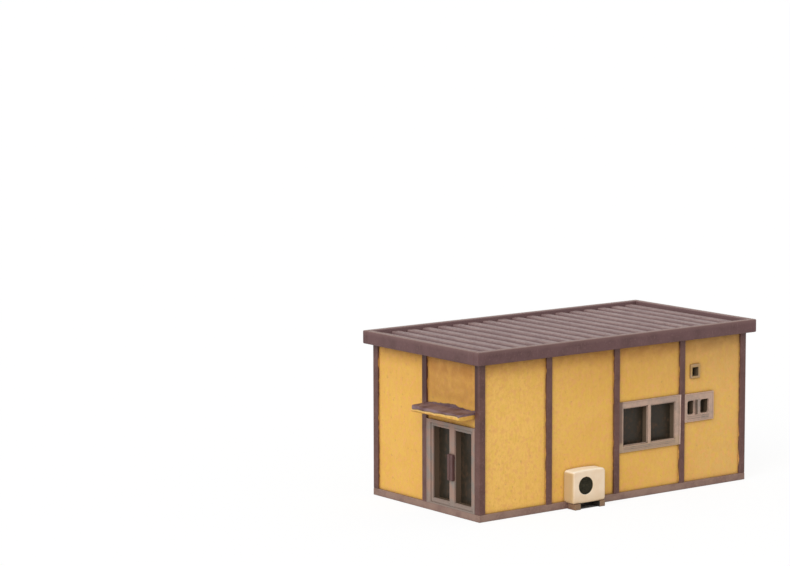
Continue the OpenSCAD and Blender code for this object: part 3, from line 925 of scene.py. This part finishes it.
def canopy_boards():
    """The painted slab, and the bare lip under it where the brown paint stops."""
    low, high = box_mm("canopy")
    lip_low = box_mm("canopy_soffit")[0]
    reach = -low.x - PANEL_X
    bottom = low.z + CANOPY_FALL
    ends = (low.y, high.y)

    def paint_line(u, share):
        wave = waver(0.09, u * 0.8, 6.0, 2.0) + waver(0.04, u * 2.6, 1.0, 8.0)
        wave -= PAINT_RUN * bell(u - low.y - CANOPY_CORNER / 2, RUN_HALF)
        return bottom + PAINT_RISE * (1 - share) ** PAINT_CURVE - PAINT_DROP + wave

    def slab_heights(u, share):
        return high.z, min(paint_line(u, share), high.z - SLAB_MIN)

    def lip_heights(u, share):
        top = min(paint_line(u, share) + LIP_UNDER_PAINT, high.z - SLAB_MIN / 2)
        return top, lip_low.z + CANOPY_FALL

    slab = board("canopy_slab", CANOPY_PLASTIC, ends, reach - LIP_PROUD,
                 CANOPY_EDGE, slab_heights)
    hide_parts("canopy")
    lip = board("canopy_lip", LIP_PAINT, (low.y + BITE, high.y - BITE), reach,
                LIP_EDGE, lip_heights)
    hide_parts("canopy_soffit")


def canopy_overpaint():
    """A ragged edge of brown paint on the wall above the canopy."""
    low, high = box_mm("canopy")
    count = int((high.y - low.y) / RAGGED_STEP)
    bm = bmesh.new()
    loops = []
    for step in range(count + 1):
        share = step / count
        u = low.y + (high.y - low.y) * share
        swell = SWELL * bell(share - SWELL_AT, SWELL_HALF)
        jitter = waver(0.16, u * 0.9, 2.0, 9.0) + waver(0.09, u * 3.1, 4.0, 1.0)
        top = high.z + max(CLIMB + swell + jitter, 0.0)
        foot = high.z - OVERPAINT_FOOT
        outline = [(-BITE, foot), (OVERPAINT_T + 0.01, foot), (OVERPAINT_T, top), (-BITE, top)]
        loops.append([DOOR_END.at(u, d, z) for d, z in outline])
    solid(bm, loops)
    piece("canopy_overpaint", CANOPY_PLASTIC, bm)


# ---- Outdoor unit ----

CASE_CORNER = 0.45  # radius of the case's corners, seen from the front
CASE_EDGE = 0.32  # radius of its front edges
CASE_CROWN = 0.14  # how much lower the top's ends are than its middle
CASE_STEPS = 6
WELL_DEPTH = 0.55  # depth of the fan's dark well
WELL_WALL = 0.05
WELL_RIM = 0.05  # rounding of the fan opening's rim
ARC_STEPS = 7
EDGE_PARTS = 5  # parts of each straight edge of its outline
GUARD_RINGS = 5
GUARD_WIRE = 0.05
WIRE_SIDES = 6
GUARD_SPOKES = 8
GUARD_TURNS = 40  # steps round each of its rings
SPOKE_START = 0.2  # shares of the opening's radius
BLADES = 5
BLADE_START, BLADE_SPAN = 0.2, 0.72
BLADE_HALF, BLADE_FLARE = 0.42, 0.12  # half its angle at the hub, and how much more at the tip
BLADE_SWEEP = 0.35  # how far its tip leads, in radians as those are
BLADE_DEPTHS = (0.32, 0.12)  # its two edges, behind the guard
BLADE_T = 0.04
BLADE_STEPS = 6
HUB_TURNS = 24
HUB = ((0.26, 0.40), (0.26, 0.16), (0.20, 0.11), (0.08, 0.09))  # shares of the radius, depths


def wire(bm, points, radius, closed=False):
    """A round wire along points in space."""
    angles = [2 * math.pi * side / WIRE_SIDES for side in range(WIRE_SIDES)]
    loops = []
    count = len(points)
    for i, point in enumerate(points):
        before = points[i - 1] if i or closed else point
        after = points[(i + 1) % count] if i + 1 < count or closed else point
        along = (after - before).normalized()
        across = along.cross(Vector((0, 1, 0)))
        up = across.cross(along)
        loops.append([point + radius * (math.cos(a) * across + math.sin(a) * up) for a in angles])
    if closed:
        join(bm, loops, closed=True)
    else:
        solid(bm, loops)


def rounded_outline(half_w, half_h, radius):
    """Corners (x, z) round a rectangle with round corners, as many for any size."""
    arcs = []
    for turn, (side_x, side_z) in enumerate(((1, 1), (-1, 1), (-1, -1), (1, -1))):
        centre = Vector((side_x * (half_w - radius), side_z * (half_h - radius)))
        angles = [math.pi / 2 * (turn + step / ARC_STEPS) for step in range(ARC_STEPS + 1)]
        arcs.append([centre + radius * Vector((math.cos(a), math.sin(a))) for a in angles])
    outline = []
    for arc, after in zip(arcs, arcs[1:] + arcs[:1]):
        outline += arc + [arc[-1].lerp(after[0], step / EDGE_PARTS) for step in range(1, EDGE_PARTS)]
    return outline


def unit_case():
    """The unit's shell: a crowned box with round edges and a round opening in its front."""
    low, high = box_mm("unit_case")
    guard_low, guard_high = box_mm("unit_fan_guard")
    centre = (low + high) / 2
    fan = (guard_low + guard_high) / 2
    radius = (guard_high.x - guard_low.x) / 2
    half_w, half_h = (high.x - low.x) / 2, (high.z - low.z) / 2

    def on_outline(inset, depth):
        corners = []
        for x, z in rounded_outline(half_w - inset, half_h - inset, CASE_CORNER - inset):
            drop = CASE_CROWN * (x / half_w) ** 2 * max(z / half_h, 0)
            corners.append(Vector((centre.x + x, low.y + depth, centre.z + z - drop)))
        return corners

    face = on_outline(CASE_EDGE, 0)
    angles = [math.atan2(corner.z - fan.z, corner.x - fan.x) for corner in face]

    def on_circle(distance, depth):
        return [Vector((fan.x + distance * math.cos(angle), low.y + depth,
                        fan.z + distance * math.sin(angle))) for angle in angles]

    loops = [on_circle(radius, WELL_DEPTH), on_circle(radius, WELL_RIM),
             on_circle(radius + WELL_RIM, 0), face]
    for step in range(1, CASE_STEPS + 1):
        angle = math.pi / 2 * step / CASE_STEPS
        loops.append(on_outline(CASE_EDGE * (1 - math.sin(angle)), CASE_EDGE * (1 - math.cos(angle))))
    back = on_outline(0, high.y - low.y)
    for corner in back:
        if corner.z < BASE:
            corner.y = box_mm("front_base_strip")[0].y
    loops.append(back)
    bm = bmesh.new()
    solid(bm, loops)
    shell = piece("unit_shell", CREAM_PLASTIC, bm)
    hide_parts("unit_case")

    bm = bmesh.new()
    cup = [on_circle(radius - WELL_WALL, WELL_DEPTH - WELL_WALL),
           on_circle(radius - WELL_WALL, WELL_RIM), on_circle(radius + BITE, WELL_RIM),
           on_circle(radius + BITE, WELL_DEPTH + BITE)]
    solid(bm, cup)
    piece("unit_fan_well", DARK_PLASTIC, bm)


def fan_guard():
    low, high = box_mm("unit_fan_guard")
    centre = (low + high) / 2
    radius = (high.x - low.x) / 2
    front = low.y + GUARD_WIRE

    def at(angle, distance, depth=0.0):
        return Vector((centre.x + distance * math.cos(angle), front + depth,
                       centre.z + distance * math.sin(angle)))

    bm = bmesh.new()
    for i in range(GUARD_RINGS):
        distance = radius * (i + 1) / GUARD_RINGS - GUARD_WIRE
        turns = [at(2 * math.pi * step / GUARD_TURNS, distance) for step in range(GUARD_TURNS)]
        wire(bm, turns, GUARD_WIRE, closed=True)
    for i in range(GUARD_SPOKES):
        angle = 2 * math.pi * (i + 0.5) / GUARD_SPOKES
        wire(bm, [at(angle, radius * SPOKE_START, GUARD_WIRE), at(angle, radius - BITE, GUARD_WIRE)],
             GUARD_WIRE)
    guard = piece("unit_guard_wires", DARK_PLASTIC, bm)
    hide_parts("unit_fan_guard")

    bm = bmesh.new()
    for i in range(BLADES):
        start = 2 * math.pi * i / BLADES
        loops = []
        for step in range(BLADE_STEPS + 1):
            share = step / BLADE_STEPS
            distance = radius * (BLADE_START + BLADE_SPAN * share)
            half = BLADE_HALF + BLADE_FLARE * share
            sweep = start + BLADE_SWEEP * share
            deep, shallow = BLADE_DEPTHS
            outline = [at(sweep - half, distance, deep), at(sweep + half, distance, shallow),
                       at(sweep + half, distance, shallow + BLADE_T),
                       at(sweep - half, distance, deep + BLADE_T)]
            loops.append(outline)
        solid(bm, loops)
    angles = [2 * math.pi * step / HUB_TURNS for step in range(HUB_TURNS)]
    solid(bm, [[at(angle, radius * reach, depth) for angle in angles] for reach, depth in HUB])
    piece("unit_fan", DARK_PLASTIC, bm)


# ---- Looks of the CAD model's own pieces ----


def nodes_named(ending):
    return [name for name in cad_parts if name.endswith(ending)]


def dress_framing():
    battens = [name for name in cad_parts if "_batten" in name]
    dress(FRAMING_PLASTIC, *battens, edge=0.05)
    dress(FRAMING_PLASTIC, *nodes_named("_post"), edge=0.10)
    dress(STRIP_PLASTIC, *nodes_named("_base_strip"), edge=0.08)
    dress(YELLOW_PAINT, *nodes_named("_wall"))
    dress(FRAMING_PLASTIC, "floor_plate", edge=0.05)


def dress_roof():
    dress(ROOF_PLASTIC, "roof_deck", edge=0.06)
    dress(BROWN_PLASTIC, *nodes_named("_fascia"), edge=0.14, segments=3)


def dress_openings():
    dress(WINDOW_PAINT, "window_frame", edge=0.04)
    dress(GREY_PAINT, "small_window_frame", edge=0.04)
    dress(VENT_PAINT, "vent_frame", edge=0.04)
    dress(DOOR_PAINT, "door_frame", "door_front_leaf", "door_rear_leaf", edge=0.04)
    dress(SMOKED_GLAZING, "window_glass", "small_window_glass", "door_glass", edge=0.02)
    dress(HANDLE_PLASTIC, "door_front_handle", "door_rear_handle", edge=0.12, segments=4)


def dress_unit():
    dress(FOOT_PLASTIC, "unit_foot_1", "unit_foot_2", edge=0.08)


# ---- Floor, light and camera ----

CAMERA_PLACE = Vector((-263.02, -313.16, 83.20))
CAMERA_TURN = 36.745  # degrees from +Y towards +X
CAMERA_DIP = 7.539  # degrees below level
CAMERA_ROLL = -0.193  # degrees about the line of sight
CAMERA_LENS = 133.93
CAMERA_SENSOR = 36  # its width
SUN_STRENGTH = 1.8
SUN_SOFTNESS = 50  # degrees
SUN_FROM = (-0.75, -0.45, 0.55)  # the direction it shines from


def add_camera():
    data = bpy.data.cameras.new("camera")
    data.sensor_width = CAMERA_SENSOR
    data.lens = CAMERA_LENS
    data.clip_start = 0.01
    camera = bpy.data.objects.new("camera", data)
    camera.location = CAMERA_PLACE * MM
    level = Euler((math.radians(90 - CAMERA_DIP), 0, -math.radians(CAMERA_TURN))).to_matrix()
    rolled = level @ Matrix.Rotation(math.radians(CAMERA_ROLL), 3, "Z")
    camera.rotation_euler = rolled.to_euler()
    bpy.context.scene.collection.objects.link(camera)
    bpy.context.scene.camera = camera


def add_sun(name, strength, softness, toward):
    """A soft lamp far away, which shines from the given direction."""
    data = bpy.data.lights.new(name, "SUN")
    data.energy = strength
    data.angle = math.radians(softness)
    sun = bpy.data.objects.new(name, data)
    sun.rotation_euler = Vector(toward).to_track_quat("Z", "Y").to_euler()
    bpy.context.scene.collection.objects.link(sun)


def plain_rays(tree):
    """1 for the rays that see the background as such: camera, glossy and transmission rays."""
    total = tree.source("ShaderNodeLightPath", "Is Camera Ray")
    for output in ("Is Glossy Ray", "Is Transmission Ray"):
        total = tree.math("MAXIMUM", total, tree.source("ShaderNodeLightPath", output))
    return total


SKY = 0.58  # strength of the world's light on the cabin
WHITE = (1.0, 1.0, 1.0, 1.0)
FLOOR = (0.82, 0.82, 0.82, 1.0)
FLOOR_FAINT = (0.14, 0.14, 0.14, 1.0)  # what the camera sees of its shading
FLOOR_GLOW = 0.88  # what it sees besides, so that the floor looks white
FLOOR_SIZE = 12.0  # metres
# The floor's glow is taken away under the outdoor unit, which paints a dark shadow there.
FLOOR_SOFT = 0.24  # soft edge of the dark gap under the outdoor unit


def add_world():
    world = bpy.data.worlds.new("world")
    world.use_nodes = True
    bpy.context.scene.world = world
    tree = Nodes(world.node_tree)
    background = tree.nodes["Background"]
    background.inputs["Color"].default_value = WHITE
    tree.feed(background.inputs["Strength"], tree.ramp(plain_rays(tree), 0.0, 1.0, SKY, 1.0))


def floor_shadow_area(tree):
    """1 on the floor between the outdoor unit's feet, where its shadow is painted, 0 elsewhere."""
    near, far = box_mm("unit_foot_1"), box_mm("unit_foot_2")
    spans = ((0, near[0].x + 0.1, far[1].x - 0.1), (1, near[0].y + 0.3, near[1].y + 0.6))
    place = tree.split(tree.source("ShaderNodeTexCoord", "Object"))
    total = 1.0
    for axis, low, high in spans:
        for start, end in ((low, low + FLOOR_SOFT), (high, high - FLOOR_SOFT)):
            inside = tree.ramp(place[axis], start * MM, end * MM, shape="LINEAR")
            total = tree.product(total, inside)
    return total


def add_floor():
    bm = bmesh.new()
    bmesh.ops.create_grid(bm, x_segments=1, y_segments=1, size=FLOOR_SIZE / 2)
    mesh = bpy.data.meshes.new("floor")
    bm.to_mesh(mesh)
    bm.free()
    floor = bpy.data.objects.new("floor", mesh)
    bpy.context.scene.collection.objects.link(floor)
    material = bpy.data.materials.new("floor")
    material.use_nodes = True
    tree = Nodes(material.node_tree)
    tree.nodes.clear()
    output = tree.nodes.new("ShaderNodeOutputMaterial")
    matt = tree.nodes.new("ShaderNodeBsdfDiffuse")
    matt.inputs["Color"].default_value = FLOOR
    faint = tree.nodes.new("ShaderNodeBsdfDiffuse")
    faint.inputs["Color"].default_value = FLOOR_FAINT
    glow = tree.nodes.new("ShaderNodeEmission")
    # No glow between the unit's feet: a painted shadow.
    strength = tree.ramp(floor_shadow_area(tree), 0.0, 1.0, FLOOR_GLOW, 0.0, shape="LINEAR")
    tree.feed(glow.inputs["Strength"], strength)
    seen = tree.nodes.new("ShaderNodeAddShader")
    tree.feed(seen.inputs[0], faint.outputs[0])
    tree.feed(seen.inputs[1], glow.outputs[0])
    mix = tree.nodes.new("ShaderNodeMixShader")
    for socket, value in zip(mix.inputs, (plain_rays(tree), matt.outputs[0], seen.outputs[0])):
        tree.feed(socket, value)
    tree.feed(output.inputs["Surface"], mix.outputs[0])
    mesh.materials.append(material)


# ---- Putting it together ----

dress_framing()
dress_roof()
dress_openings()
dress_unit()
for each_side in SIDES:
    panel_ribs(each_side)
    paint_creep(each_side)
big_window()
small_window()
vent()
door()
door_handles()
canopy_boards()
canopy_overpaint()
unit_case()
fan_guard()

add_camera()
add_floor()
add_world()
add_sun("key", SUN_STRENGTH, SUN_SOFTNESS, SUN_FROM)
bpy.context.scene.view_settings.view_transform = "Standard"
